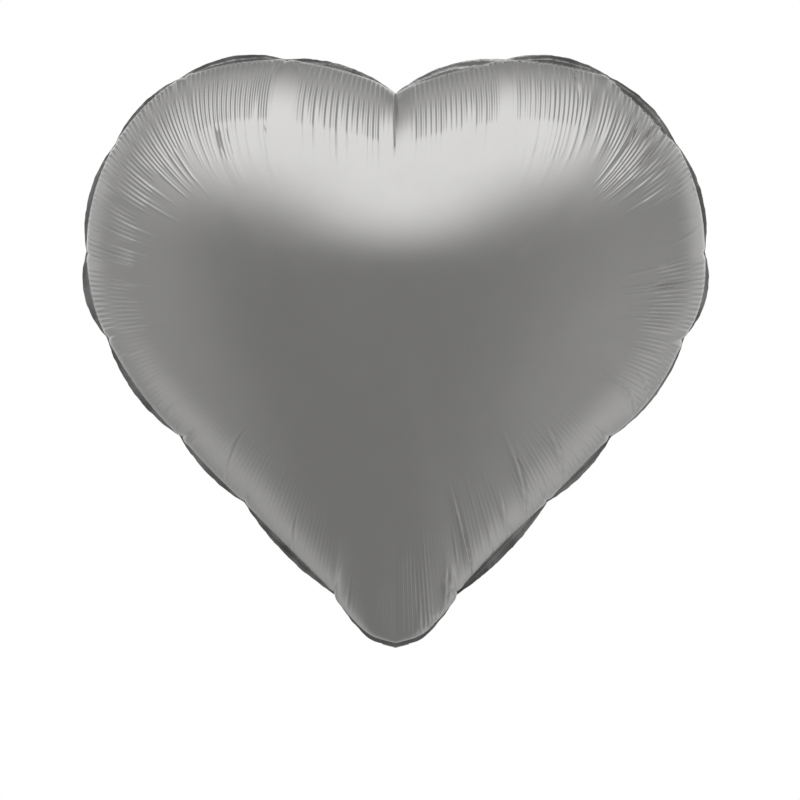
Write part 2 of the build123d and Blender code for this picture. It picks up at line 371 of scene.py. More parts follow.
def puffed(plan, depth):
    """Moves the film out over the seal, which sits in a groove between the two panels."""
    reach = RIM - SEAL
    gap = np.hypot(*reach)
    overhang = ((reach * OUTWARD).sum(0) - flange_shown()) / BULGE_SHARE
    for pinch in PINCHES:
        overhang = overhang - PINCH_NOTCH * np.exp(-((apart(AROUND, pinch) / PINCH_NOTCH_WIDTH) ** 2))
    tip = fade(np.abs(apart(AROUND, PERIMETER / 2)), *TIP_PUFFED)
    overhang = overhang + (gap + TIP_PUFF - overhang) * tip
    overhang = np.maximum(overhang, 0)
    # the pinches are sharp at the seal only, and even out further in
    even = blurred_around(overhang, EVEN_OVER)
    overhang = even + (overhang - even) * fade(depth / HALF_DEPTH, *PINCHED_DEPTH)
    near_seal = np.exp(-depth / HALF_DEPTH * OVERHANG_FADE)
    out = overhang * (1 - np.exp(-depth / OVERHANG_HEIGHT)) * near_seal
    way = OUTWARD * (1 - tip) + reach / gap * tip
    moved = plan + way[:, None, :] * out
    keep_lobes_apart(moved)
    return moved


# ======== creases and wrinkles
def cell_wrinkles(width, spread, height, reach, inwards, start):
    """Rounded ridges side by side, as film gathered along a seam makes, each with its own size."""
    count = int(PERIMETER / width)
    sizes = RNG.uniform(1 - spread, 1 + spread, count)
    edges = np.concatenate([[0], np.cumsum(sizes)])
    edges *= PERIMETER / edges[-1]
    cell = np.clip(np.searchsorted(edges, AROUND, side="right") - 1, 0, count - 1)
    within = (AROUND - edges[cell]) / (edges[cell + 1] - edges[cell])
    arch = np.sin(np.pi * within) ** 2
    tall = RNG.uniform(0.7, 1.0, count)[cell] * height
    long = RNG.uniform(reach[0], reach[1], count)[cell] * (1 + (REACH_AT_TOP - 1) * UPNESS)
    rise = 1 - fade(inwards, start, start + 6)
    return tall * arch * rise * fade(inwards, long * 0.6, long)


def pinch_creases(inwards):
    """A sharp valley running in from each pinch of the rim, with the film puffed up beside it."""
    total = np.zeros_like(inwards)
    for pinch in PINCHES:
        deep = RNG.uniform(0.5, 1.1)
        long = RNG.uniform(30, 60)
        lean = RNG.uniform(-0.10, 0.10)
        offset = apart(AROUND, pinch)[None, :] - lean * inwards
        wide = 0.9 + 0.018 * inwards
        valley = np.exp(-np.abs(offset) / wide)
        shoulder = np.exp(-((np.abs(offset) - 3.2 * wide) ** 2) / (2 * (1.6 * wide) ** 2))
        strength = fade(inwards, 6, long) * (1 - fade(inwards, 0, 3))
        total += deep * strength * (0.45 * shoulder - valley)
    return total


def crumple(inwards):
    """Small irregular dents in the strip next to the seal, where the film is gathered most."""
    total = np.zeros_like(inwards)
    for _ in range(16):
        turns = int(PERIMETER / RNG.uniform(3.5, 11)) * RNG.choice((-1, 1))
        length = RNG.uniform(5, 16)
        phase = RNG.uniform(0, 2 * np.pi)
        total += np.sin(2 * np.pi * (AROUND[None, :] / PERIMETER * turns + inwards / length) + phase)
    ridged = 1 - np.abs(total / 2.8)
    patches = np.clip(1.6 * noise_around(50, 2), 0, 1)
    return CRUMPLE_HEIGHT * patches * ridged * (1 - fade(inwards, 8, 14)) * fade(inwards, 16, 28)


def long_creases(inwards, count, height):
    """Thin single ridges that run further in than the rest."""
    total = np.zeros_like(inwards)
    for _ in range(count):
        place = RNG.uniform(0, PERIMETER)
        start = RNG.uniform(8, 30)
        end = start + RNG.uniform(25, 60)
        lean = RNG.uniform(-0.12, 0.12)
        wide = RNG.uniform(0.8, 1.6)
        offset = apart(AROUND, place)[None, :] - lean * inwards
        full = start + 12
        strength = RNG.uniform(0.4, 1.0) * (1 - fade(inwards, start, full)) * fade(inwards, full, end)
        total += height * strength * np.exp(-((offset / wide) ** 2))
    return total


# Where the seam gathers the film: the way around at which each patch starts and ends, plus over the right
# lobe and minus over the left, how tall its wrinkles are and how much they are mixed with wider folds.
GATHERED = (
    (11, 61, 1.0, 0.0),
    (69, 118, 0.9, 0.5),
    (124, 203, 1.25, 0.7),
    (243, 292, 1.25, 0.1),
    (296, 342, 0.4, 0.2),
    (364, 432, 0.35, 0.4),
    (440, 484, 0.2, 0.6),
    (506, 530, 0.5, 0.0),
    (-56, -4, 1.0, 0.0),
    (-121, -69, 1.1, 0.0),
    (-202, -126, 1.3, 0.45),
    (-246, -207, 1.2, 0.1),
    (-291, -251, 0.8, 0.1),
    (-361, -296, 0.12, 0.2),
    (-484, -366, 0.10, 0.3),
)


def gathered():
    """Height of the narrow wrinkles and of the wider folds, all the way around."""
    narrow = np.full(COLUMNS, 0.04)
    wide = np.zeros(COLUMNS)
    for start, end, tall, folded in GATHERED:
        off = np.abs(apart(AROUND, (start + end) / 2))
        inside = tall * fade(off, (end - start) / 2 - 4, (end - start) / 2 + 3)
        narrow = np.maximum(narrow, inside * (1 - 0.35 * folded))
        wide = np.maximum(wide, inside * folded)
    return narrow, wide


def wrinkles(inwards):
    """Height of all the wrinkles over the smooth panel."""
    narrow, wide = gathered()
    fine = cell_wrinkles(1.5, 0.2, 0.1, (24, 40), inwards, 11.0) * narrow
    main = cell_wrinkles(2.95, 0.07, 0.74, (68, 102), inwards, 12.0) * narrow
    folds = cell_wrinkles(7.5, 0.45, 1.1, (40, 80), inwards, 12.0) * wide
    broad = cell_wrinkles(9.5, 0.45, 0.2, (45, 75), inwards, 12.0) * narrow
    total = fine + main + folds + broad + crumple(inwards) + pinch_creases(inwards)
    return total + bold_creases(inwards) + long_creases(inwards, 34, 0.35)


# single creases that stand out: place around, distances inwards of both ends, lean, height
BOLD_CREASES = (
    (334, 14, 62, -0.35, 0.9),
    (346, 12, 78, -0.30, 1.0),
    (402, 12, 84, -0.22, 0.9),
    (431, 14, 96, -0.18, 1.1),
    (446, 12, 60, -0.10, 0.7),
    (474, 10, 90, 0.05, 1.0),
    (487, 8, 40, 0.30, 0.9),
    (498, 8, 48, -0.20, 1.2),
    (150, 14, 70, 0.06, 1.1),
    (163, 12, 64, -0.08, 1.2),
    (104, 16, 70, 0.10, 0.9),
    (-62, 8, 34, 0.20, 1.1),
    (-131, 12, 66, -0.06, 0.6),
    (-400, 16, 80, 0.15, 0.35),
    (-455, 12, 50, 0.10, 0.45),
)


def bold_creases(inwards):
    """A rounded fold with a sharp valley down one side of it, for each crease in the list."""
    total = np.zeros_like(inwards)
    for place, start, end, lean, height in BOLD_CREASES:
        offset = apart(AROUND, place)[None, :] - lean * (inwards - start)
        fold = np.exp(-np.abs(offset - 1.6) / 2.2) - 1.1 * np.exp(-np.abs(offset) / 0.9)
        strength = (1 - fade(inwards, start, start + 10)) * fade(inwards, (start + end) / 2, end)
        total += height * strength * fold
    return total


def cleft_crease(inwards):
    """Depth of the valley where the two lobes meet."""
    below = SEAL[1, 0] - PLAN[1]
    in_lobes = (PLAN[1] > 0) & (np.abs(PLAN[0]) < 60)
    strength = fade(below, -4, CREASE_LENGTH) ** 1.5 * in_lobes * (1 - fade(inwards, 4, 16))
    width = np.where(PLAN[0] < 0, CREASE_WIDTH[0], CREASE_WIDTH[1])
    deep = np.minimum(CREASE_DEPTH * strength, CREASE_SHARE * DEPTH)
    return deep * np.exp(-np.abs(PLAN[0]) / width)


def inward_distance(points):
    """Distance along each column from the seal, over the surface."""
    steps = np.sqrt((np.diff(points, axis=1) ** 2).sum(0))
    return np.vstack([np.zeros(COLUMNS), np.cumsum(steps, axis=0)])


def surface_normals(points):
    """Unit normals of a (3, rows, columns) surface that closes on itself around the seal."""
    around = np.roll(points, -1, axis=2) - np.roll(points, 1, axis=2)
    inwards = np.gradient(points, axis=1)
    normal = np.cross(inwards, around, axis=0)
    return normal / np.maximum(np.sqrt((normal**2).sum(0)), 1e-9)


def pressed_by_tail(points):
    """The back panel's points, kept under the tail where that lies folded on the panel."""
    height = points[2] + MIDDLE_Z - FOLD[1]
    clear = TAIL_CLEARANCE * (1 - np.exp(-np.maximum(height, 0) / 1.5))
    under = FOLD[0] + height * np.tan(TAIL_LEAN) - clear
    beside = fade(np.abs(points[0]), TAIL_HALF + 1, TAIL_HALF + 14)
    pressed = points.copy()
    pressed[1] -= np.maximum(points[1] - under, 0) * beside * (height > 0)
    return pressed


# ======== a panel as one closed sheet
clear_of_neck = 1 - fade(np.abs(apart(AROUND, PERIMETER / 2)), 12, 30)
crimp = (0.6 * noise_around(5.2, 2) + 0.4 * noise_around(2.6, 1)) * CRIMP_HEIGHT * clear_of_neck
wave = noise_around(48, 2) * WAVE_HEIGHT * clear_of_neck
pleat_count = 1.6 + 0.5 * noise_around(60, 1)
pleat_shift = 0.6 * noise_around(30, 2)
rim_jitter = 0.28 * noise_around(4.0, 2) * clear_of_neck


def flange_mid(share):
    """How far the flange stands out of the seal's plane, at a share of the way from the seal to the rim."""
    pleat = PLEAT_HEIGHT * np.sin(2 * np.pi * (share * pleat_count + pleat_shift)) * share * (1 - share) * 4
    return crimp * share**0.8 + wave * share**1.5 + pleat * clear_of_neck


def flange_point(share):
    """Points of the flat flange in the plane of the seal."""
    reach = RIM + OUTWARD * rim_jitter - SEAL
    return SEAL + reach * share


def ring_faces(first, second, first_count, second_count):
    """Faces between two rings of points, where the second has as many as the first or half."""
    faces = []
    if first_count == second_count:
        for i in range(first_count):
            j = (i + 1) % first_count
            faces.append((first + i, first + j, second + j, second + i))
        return faces
    for i in range(second_count):
        a, b, c = 2 * i, 2 * i + 1, (2 * i + 2) % first_count
        j = (i + 1) % second_count
        faces.append((first + a, first + b, second + i))
        faces.append((first + b, second + j, second + i))
        faces.append((first + b, first + c, second + j))
    return faces


def dome(facing):
    """Rows of points of a panel's outer and inner face, x, height and z, and their distance inwards."""
    plan = puffed(PLAN, DEPTH)
    base = np.stack([plan[0], DEPTH + WELD_HALF + FLANGE_THICKNESS, plan[1]])
    inwards = inward_distance(base)
    normals = surface_normals(base)
    normals *= np.sign(normals[1].mean())
    calm = 1 - CALM[0] * np.exp(-((PLAN[0] / CALM[1]) ** 2)) * (PLAN[1] > 0)
    outer = base + normals * (wrinkles(inwards) * calm)
    outer[1] -= cleft_crease(inwards)
    keep_lobes_apart(outer)
    inner = base.copy()
    inner[1] -= INNER_CREASE * cleft_crease(inwards)
    if facing > 0:
        outer = pressed_by_tail(outer)
        inner = pressed_by_tail(inner)
    inner -= normals * INNER_GAP
    return outer, inner, inwards


def ring(flat, height, facing, step=1):
    """One ring of points from its outline and its height on the panel's own side."""
    return np.stack([flat[0], facing * height, flat[1] + MIDDLE_Z])[:, ::step]


def outer_rings(outer, inwards, facing):
    """Rings from the rim in over the flange and the dome to the middle, and the seam mark of each."""
    rings, seam = [], []
    for share in FLANGE_SHARES:
        stand = facing * flange_mid(share) + WELD_HALF + FLANGE_THICKNESS
        if share == 1.0:
            stand = stand - RIM_THINNING * FLANGE_THICKNESS
        rings.append(ring(flange_point(share), stand, facing))
        seam.append(np.ones(COLUMNS))
    step = 1
    for row in range(ROWS):
        if row in HALVE_AT:
            step *= 2
        rings.append(ring(outer[::2, row], outer[1, row], facing, step))
        seam.append(SEAM_ON_DOME * fade(inwards[row], 3, 20)[::step])
    return rings, np.concatenate(seam)


def inner_rings(inner, facing):
    """Rings from the middle back out to the rim, under the dome and the flange."""
    rings = []
    for row, step in INNER_ROWS:
        rings.append(ring(inner[::2, row], inner[1, row], facing, step))
    for share in INNER_SHARES:
        step = max(1, step // 2)
        rings.append(ring(flange_point(share), facing * flange_mid(share) + WELD_HALF, facing, step))
    return rings


def panel(name, facing):
    """One foil sheet: its domed outer face, its share of the flange and a plain inner face.

    Facing is -1 for the front panel and +1 for the back. The two middle points stand between the outer
    and the inner rings, and the first ring and the last meet at the rim.
    """
    outer, inner, inwards = dome(facing)
    outside, seam = outer_rings(outer, inwards, facing)
    crown = outside[-1].mean(axis=1) + np.array([0, facing * 0.02, 0])
    crowns = np.stack([crown, crown - np.array([0, facing * CROWN_GAP, 0])], axis=1)
    rings = outside + [crowns] + inner_rings(inner, facing)
    counts = [points.shape[1] for points in rings]
    starts = [sum(counts[:k]) for k in range(len(rings))]
    top = len(outside)

    def between(first, second):
        return ring_faces(starts[first], starts[second], counts[first], counts[second])

    def fan(around, middle):
        first, count = starts[around], counts[around]
        return [(first + i, first + (i + 1) % count, middle) for i in range(count)]

    faces = []
    for k in range(top - 1):
        faces += between(k, k + 1)
    faces += fan(top - 1, starts[top])
    faces += [face[::-1] for face in fan(top + 1, starts[top] + 1)]
    for k in range(top + 2, len(rings)):
        faces += between(k, k - 1)
    faces += between(0, len(rings) - 1)
    if facing > 0:
        faces = [face[::-1] for face in faces]
    thing = mesh_object(name, np.hstack(rings).T, faces)
    marks = np.zeros(sum(counts), np.float32)
    marks[: len(seam)] = seam
    thing.data.attributes.new("seam", "FLOAT", "POINT").data.foreach_set("value", marks)
    return thing


# ======== the rim's weld, the tail and the valve
def thick_sheet(name, flat, faces, place, low, high):
    """A sheet with a grid of flat points placed at two heights, closed round every open edge."""
    count = len(flat)
    points = np.vstack([place(flat, high), place(flat, low)])
    edges = dict.fromkeys((a, b) for face in faces for a, b in zip(face, face[1:] + face[:1]))
    closed = faces + [tuple(i + count for i in reversed(face)) for face in faces]
    closed += [(b, a, a + count, b + count) for a, b in edges if (b, a) not in edges]
    return mesh_object(name, points, closed)


def grid_faces(rows, columns, keep=None):
    """Quads of a grid of points, row by row, with an optional test of each quad."""
    faces = []
    for i in range(rows - 1):
        for j in range(columns - 1):
            if keep is None or keep(i, j):
                a = i * columns + j
                faces.append((a, a + 1, a + columns + 1, a + columns))
    return faces


def rim_weld():
    """The welded strip between the two foils, open at the neck."""
    columns = np.arange(0, COLUMNS, WELD_STEP)
    columns = columns[np.abs(RIM[0, columns]) > np.where(SEAL[1, columns] < 0, NECK_HALF, -1)]
    start = int(np.argmax(np.diff(columns))) + 1
    columns = np.roll(columns, -start)
    flat = np.array([(column, share) for share in WELD_SHARES for column in columns])
    faces = grid_faces(len(WELD_SHARES), len(columns))

    def place(flat, height):
        rings = [ring(flange_point(share), flange_mid(share) + height, 1) for share in WELD_SHARES]
        return np.hstack([points[:, columns] for points in rings]).T

    return thick_sheet("rim_weld", flat, faces, place, -WELD_HALF + 0.01, WELD_HALF - 0.01)


def tail_half(along):
    """Half the tail's width."""
    ease = 1 - fade(along, *SHOULDER)
    half = NECK_HALF + (TAIL_HALF - NECK_HALF) * ease
    past = np.clip(along - TAIL_STRAIGHT, 0, TAIL_CORNER)
    return half - (TAIL_CORNER - np.sqrt(TAIL_CORNER**2 - past**2))


def smooth_field(x, z, wavelength, seed):
    """Smooth random heights over a plane, about -1 to 1."""
    random = np.random.default_rng(seed)
    total = np.zeros_like(x)
    for _ in range(14):
        turn = random.uniform(0, 2 * np.pi)
        length = wavelength * random.uniform(0.6, 1.7)
        phase = random.uniform(0, 6.28)
        total += np.sin((x * np.cos(turn) + z * np.sin(turn)) * 2 * np.pi / length + phase)
    return total / 4


def crinkle(x, along):
    """Out-of-plane creasing of the tail, shared by all its layers, none at the crease."""
    free = 1 - fade(along, 3, 22)
    soft = 0.55 * smooth_field(x, along * 0.6, 30, 3)
    folds = smooth_field(x, along * 0.5, 11, 4)
    sharp = 0.35 * (np.abs(folds) ** 0.7 - 0.4)
    gathers = 0.12 * np.sin(x * 2.6 + 0.8 * np.sin(along * 0.35)) * fade(along, 8, 26)
    return (soft + sharp) * free + gathers * (1 - fade(along, 1, 5))


def catmull_rom(knots, steps):
    """A smooth curve through the knots."""
    knots = np.asarray(knots, float)
    ends = np.vstack([2 * knots[0] - knots[1], knots, 2 * knots[-1] - knots[-2]])
    t = np.linspace(0, 1, steps, endpoint=False)[:, None]
    curve = []
    for a, b, c, d in zip(ends, ends[1:], ends[2:], ends[3:]):
        turn = 2 * b + (c - a) * t + (2 * a - 5 * b + 4 * c - d) * t**2 + (3 * b - a - 3 * c + d) * t**3
        curve.append(turn / 2)
    return np.vstack(curve + [knots[-1:]])


def spine(offset, bend):
    """The way a tail film goes in side view: round its bend, then straight. Distance 0 is at the crease."""
    straight = np.arange(BEND_END, TAIL_LENGTH + CELL, CELL / 2)
    line = FOLD + straight[:, None] * ALONG + offset * TO_BALLOON
    curve = catmull_rom(list(bend) + [line[0], line[6]], 8)[:-9]
    whole = np.vstack([curve, line])
    length = np.concatenate([[0], np.cumsum(np.hypot(*np.diff(whole, axis=0).T))])
    return length - length[len(curve)] + BEND_END, whole


def tail_place(offset, bend):
    """A function that puts flat tail points (across, along) in space, at a height over the film's spine."""
    length, line = spine(offset, bend)
    way = np.gradient(line, axis=0)
    way /= np.hypot(*way.T)[:, None]
    near_tip = RIM[:, (np.abs(RIM[0]) < 12) & (RIM[1] < 0)]
    rim_x, rim_z = near_tip[:, np.argsort(near_tip[0])]

    def place(flat, height):
        across, along = flat[:, 0], flat[:, 1]
        y = np.interp(along, length, line[:, 0])
        z = np.interp(along, length, line[:, 1])
        way_y = np.interp(along, length, way[:, 0])
        way_z = np.interp(along, length, way[:, 1])
        out = height + crinkle(across, along)
        follow = fade(along, length[0] + 2.5, 3.5)
        lifted = np.interp(np.abs(across), rim_x, rim_z - rim_z.min()) * follow
        return np.stack([across, y - way_z * out, z + way_y * out + lifted], axis=1)

    return place, length[0]


def tail_grid(start, end, half, hole=False):
    """Flat points (across, along) and faces of a lane down the tail, with the ribbon hole if asked."""
    if end > TAIL_STRAIGHT:
        corner = TAIL_STRAIGHT + TAIL_CORNER * np.sin(np.pi / 2 * np.arange(1, 9) / 8)
        rows = np.concatenate([TAIL_STRAIGHT - np.arange(0, TAIL_STRAIGHT - start, CELL)[::-1], corner])
    else:
        rows = np.arange(start, end, CELL)
    across = np.linspace(-1, 1, int(2 * TAIL_HALF / CELL) + 1)
    flat = np.array([(u * half(row), row) for row in rows for u in across])
    if hole:
        return with_hole(flat, rows, len(across))
    return flat, grid_faces(len(rows), len(across))


def with_hole(flat, rows, columns):
    """The grid with a square of cells left out and rings of points from that square to the round hole."""
    middle_column = columns // 2
    middle_row = int(np.argmin(np.abs(rows - HOLE_AT)))

    def outside(i, j):
        return abs(i + 0.5 - middle_row) > HOLE_CELLS or abs(j + 0.5 - middle_column) > HOLE_CELLS

    faces = grid_faces(len(rows), columns, outside)
    k = HOLE_CELLS
    path = [(-k, j) for j in range(-k, k)] + [(i, k) for i in range(-k, k)]
    path += [(k, j) for j in range(k, -k, -1)] + [(i, -k) for i in range(k, -k, -1)]
    around = [(middle_row + i) * columns + middle_column + j for i, j in path]
    centre = np.array([0.0, rows[middle_row]])
    square = flat[around] - centre
    circle = square / np.hypot(*square.T)[:, None] * HOLE_RADIUS
    for step in range(1, HOLE_RINGS + 1):
        t = step / HOLE_RINGS
        inner = list(range(len(flat), len(flat) + len(around)))
        flat = np.vstack([flat, centre + square * (1 - t) + circle * t])
        faces += zip(around, around[1:] + around[:1], inner[1:] + inner[:1], inner)
        around = inner
    used = sorted({i for face in faces for i in face})
    renumber = {old: new for new, old in enumerate(used)}
    return flat[used], [tuple(renumber[i] for i in face) for face in faces]


def tail_film(name, offset, bend):
    """One foil sheet of the tail, from the rim of the balloon round the crease to the mouth."""
    place, first = tail_place(offset, bend)
    flat, faces = tail_grid(first, TAIL_LENGTH, tail_half, hole=True)
    return thick_sheet(name, flat, faces, place, -FOIL_HALF, FOIL_HALF)


LAYER_PLACE, _ = tail_place(0.0, LAYER_BEND)


def mouth_film(name, low, high):
    """A film of the valve inside the tail, in from both edges."""
    flat, faces = tail_grid(LAYERS_FROM, MOUTH_END, lambda along: tail_half(along) - MOUTH_INSET)
    return thick_sheet(name, flat, faces, LAYER_PLACE, low, high)


def tail_strip(name, lobe, end, inset, width, half):
    """A narrow weld down one side of the tail."""
    rows = np.linspace(LAYERS_FROM, end, int((end - LAYERS_FROM) / CELL))
    across = np.linspace(0, 1, 7)
    flat = np.array([(lobe * (tail_half(row) - inset - width * u), row) for row in rows for u in across])
    return thick_sheet(name, flat, grid_faces(len(rows), len(across)), LAYER_PLACE, -half, half)


def valve_sheet(name, from_x, to_x, low, high):
    """A film or weld of the free valve standing inside the balloon."""
    rows = np.linspace(0, VALVE_LENGTH, 90)
    across = np.linspace(from_x, to_x, 25)
    flat = []
    for row in rows:
        past = max(0.0, row - (VALVE_LENGTH - VALVE_CORNER))
        limit = VALVE_HALF - (VALVE_CORNER - np.sqrt(VALVE_CORNER**2 - past**2))
        flat += [(float(np.clip(x, -limit, limit)), row) for x in across]

    def place(flat, height):
        wave = 0.5 * smooth_field(flat[:, 0] * 0.5, flat[:, 1], 34, 9) * (1 - fade(flat[:, 1], 0, 25))
        return np.stack([flat[:, 0], height + wave, flat[:, 1] + VALVE_FOOT], axis=1)

    return thick_sheet(name, np.array(flat), grid_faces(len(rows), len(across)), place, low, high)


def stand_for(thing, body, node):
    """A piece that rides on a body in place of a CAD node."""
    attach(thing, body)
    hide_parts(node)
    return thing


front = stand_for(panel("front_foil", -1), "balloon", "front_panel")
back = stand_for(panel("back_foil", 1), "balloon", "back_panel")
weld = stand_for(rim_weld(), "balloon", "edge_weld")

films = []
for name, offset, bend, node in (
    ("tail_outer_foil", -FOIL_OFFSET, OUTER_BEND, "tail_front_film"),
    ("tail_inner_foil", FOIL_OFFSET, INNER_BEND, "tail_back_film"),
):
    film = tail_film(name, offset, bend)
    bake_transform(film)
    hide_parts(node)
    films.append(film)

welds = [weld]
valve_pieces = []
for lobe, word in ((-1, "left"), (1, "right")):
    piece = tail_strip("tail_seal_" + word, lobe, TAIL_STRAIGHT, 0.15, TAIL_SEAL - 0.3, 0.2)
    welds.append(stand_for(piece, "tail", "tail_weld_" + word))
    piece = tail_strip("mouth_seal_" + word, lobe, MOUTH_END, MOUTH_INSET, 1.2, 0.04)
    valve_pieces.append(stand_for(piece, "tail", "mouth_weld_" + word))
    ends = sorted((lobe * VALVE_CHANNEL, lobe * VALVE_HALF))
    piece = valve_sheet("valve_seal_" + word, *ends, -0.05, 0.05)
    valve_pieces.append(stand_for(piece, "valve_sleeve", "valve_weld_" + word))
for name, node, low, high in (
    ("mouth_outer_film", "mouth_front_film", -0.19, -0.05),
    ("mouth_inner_film", "mouth_back_film", 0.05, 0.19),
):
    valve_pieces.append(stand_for(mouth_film(name, low, high), "tail", node))
for name, body, node, low, high in (
    ("valve_lip_film", "valve_lip", "valve_front_film", -0.2, -0.06),
    ("valve_sleeve_film", "valve_sleeve", "valve_back_film", 0.06, 0.2),
):
    piece = valve_sheet(name, -VALVE_HALF, VALVE_HALF, low, high)
    valve_pieces.append(stand_for(piece, body, node))


# ======== materials
class NodeTree:
    """The nodes of a material or of the world being put together."""

    def __init__(self, owner, coordinates):
        owner.use_nodes = True
        self.nodes = owner.node_tree.nodes
        self.links = owner.node_tree.links
        self.place = self.nodes.new("ShaderNodeTexCoord").outputs[coordinates]

    def put(self, value, socket):
        """Links a socket to another node's output, or gives it a plain value."""
        if hasattr(value, "links"):
            self.links.new(value, socket)
        else:
            socket.default_value = value

    def math(self, operation, *values):
        node = self.nodes.new("ShaderNodeMath")
        node.operation = operation
        for value, socket in zip(values, node.inputs):
            self.put(value, socket)
        return node.outputs[0]

    def spread(self, value, low, high, start=0, end=1, kind="LINEAR"):
        """A value between start and end drawn out to low and high."""
        node = self.nodes.new("ShaderNodeMapRange")
        node.interpolation_type = kind
        self.put(value, node.inputs["Value"])
        node.inputs["From Min"].default_value = start
        node.inputs["From Max"].default_value = end
        node.inputs["To Min"].default_value = low
        node.inputs["To Max"].default_value = high
        return node.outputs["Result"]


class Shading(NodeTree):
    """A material."""

    def __init__(self, name):
        self.material = bpy.data.materials.new(name)
        super().__init__(self.material, "Object")
        self.shader = self.nodes["Principled BSDF"]

    def noise(self, cells_per_metre, detail):
        """Random cloudiness from 0 to 1, with so many cells to the metre."""
        node = self.nodes.new("ShaderNodeTexNoise")
        node.inputs["Scale"].default_value = cells_per_metre
        node.inputs["Detail"].default_value = detail
        self.links.new(self.place, node.inputs["Vector"])
        return node.outputs["Fac"]

    def cells(self, cells_per_metre):
        """Distance to the edges of random cells, for crumpled film."""
        node = self.nodes.new("ShaderNodeTexVoronoi")
        node.feature = "DISTANCE_TO_EDGE"
        node.inputs["Scale"].default_value = cells_per_metre
        self.links.new(self.place, node.inputs["Vector"])
        return node.outputs["Distance"]

    def crumples(self, dents, folds):
        """Dents and the edges of folds together, each with so many to the metre."""
        return self.math("ADD", self.noise(dents, 3), self.math("MULTIPLY", self.cells(folds), 0.8))

    def mark(self, name):
        node = self.nodes.new("ShaderNodeAttribute")
        node.attribute_name = name
        return node.outputs["Fac"]

    def between(self, share, first, second):
        """A colour between two others."""
        node = self.nodes.new("ShaderNodeMix")
        node.data_type = "RGBA"
        self.put(share, node.inputs["Factor"])
        self.put(first, node.inputs[6])
        self.put(second, node.inputs[7])
        return node.outputs[2]

    def bump(self, height, metres, strength):
        node = self.nodes.new("ShaderNodeBump")
        node.inputs["Distance"].default_value = metres
        self.put(strength, node.inputs["Strength"])
        self.links.new(height, node.inputs["Height"])
        self.links.new(node.outputs["Normal"], self.shader.inputs["Normal"])

    def set(self, **values):
        for name, value in values.items():
            self.put(value, self.shader.inputs[name.replace("_", " ")])


SILVER = (0.61, 0.605, 0.595, 1)
SILVER_DULL = (0.57, 0.565, 0.555, 1)
# colours of the flange: partly the duller pressed seal, partly painted shade for the groove between the
# bulging panels
PRESSED_AND_SHADED = (0.27, 0.27, 0.267, 1)
PRESSED_AND_SHADED_PALE = (0.50, 0.50, 0.495, 1)


def foil_material():
    """Satin metallised film. Over the rim it is painted darker: partly the duller pressed seal, partly
    painted shade for the groove between the bulging panels.
    """
    foil = Shading("satin_foil")
    seam = foil.mark("seam")
    sheen = foil.between(foil.noise(60, 3), SILVER_DULL, SILVER)
    # painted shade: where the seam mark is 1, on the flange, the colour is taken darker than the dome's
    pressed = foil.spread(seam, 0, 1, 0.8, 0.95)
    seal_and_shade_colour = foil.between(foil.spread(foil.noise(38, 2), 0, 1, 0.42, 0.62), PRESSED_AND_SHADED, PRESSED_AND_SHADED_PALE)
    roughness = foil.spread(foil.noise(35, 3), 0.20, 0.26)
    foil.set(Metallic=1.0, Base_Color=foil.between(pressed, sheen, seal_and_shade_colour), Roughness=roughness)
    foil.bump(foil.crumples(420, 240), 0.00035, foil.spread(seam, 0.0, 0.7))
    return foil.material


def tail_material():
    """The same film, crumpled all over, as the tail is never blown up."""
    foil = Shading("tail_foil")
    sheen = foil.between(foil.noise(60, 3), SILVER_DULL, SILVER)
    foil.set(Metallic=1.0, Base_Color=sheen, Roughness=foil.spread(foil.noise(50, 2), 0.26, 0.36))
    foil.bump(foil.crumples(260, 150), 0.0004, 0.5)
    return foil.material


def seal_material():
    """Two foils fused together, with the grid of the sealing jaw pressed in."""
    seal = Shading("heat_seal")
    grid = seal.nodes.new("ShaderNodeTexWave")
    grid.inputs["Scale"].default_value = 320
    grid.inputs["Distortion"].default_value = 0.6
    seal.links.new(seal.place, grid.inputs["Vector"])
    tone = seal.between(seal.noise(90, 3), (0.33, 0.33, 0.325, 1), (0.45, 0.45, 0.44, 1))
    seal.set(Metallic=1.0, Base_Color=tone, Roughness=seal.spread(seal.noise(70, 2), 0.32, 0.44))
    seal.bump(grid.outputs["Fac"], 0.0001, 0.6)
    return seal.material


def valve_material():
    """Cloudy polyethylene film."""
    film = Shading("valve_film")
    tone = film.between(film.noise(45, 3), (0.76, 0.80, 0.83, 1), (0.86, 0.89, 0.90, 1))
    film.set(Base_Color=tone, Roughness=film.spread(film.noise(80, 2), 0.28, 0.42))
    film.set(Transmission_Weight=0.45, IOR=1.5)
    film.bump(film.noise(300, 3), 0.0001, 0.4)
    return film.material


def ink_material():
    """Matt heat-proof ink that keeps the neck from sealing shut."""
    ink = Shading("release_ink")
    share = ink.spread(ink.noise(900, 3), 0, 1, 0.35, 0.65)
    tone = ink.between(share, (0.10, 0.14, 0.19, 1), (0.16, 0.21, 0.27, 1))
    ink.set(Base_Color=tone, Roughness=ink.spread(ink.noise(500, 2), 0.55, 0.75))
    ink.bump(ink.noise(1200, 2), 0.00005, 0.4)
    return ink.material


def finish_with(material, things):
    for thing in things:
        thing.data.materials.clear()
        thing.data.materials.append(material)


finish_with(foil_material(), [front, back])
finish_with(tail_material(), films)
finish_with(seal_material(), welds + [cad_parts["neck_weld"]])
finish_with(valve_material(), valve_pieces)
finish_with(ink_material(), [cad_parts["valve_release_print"]])

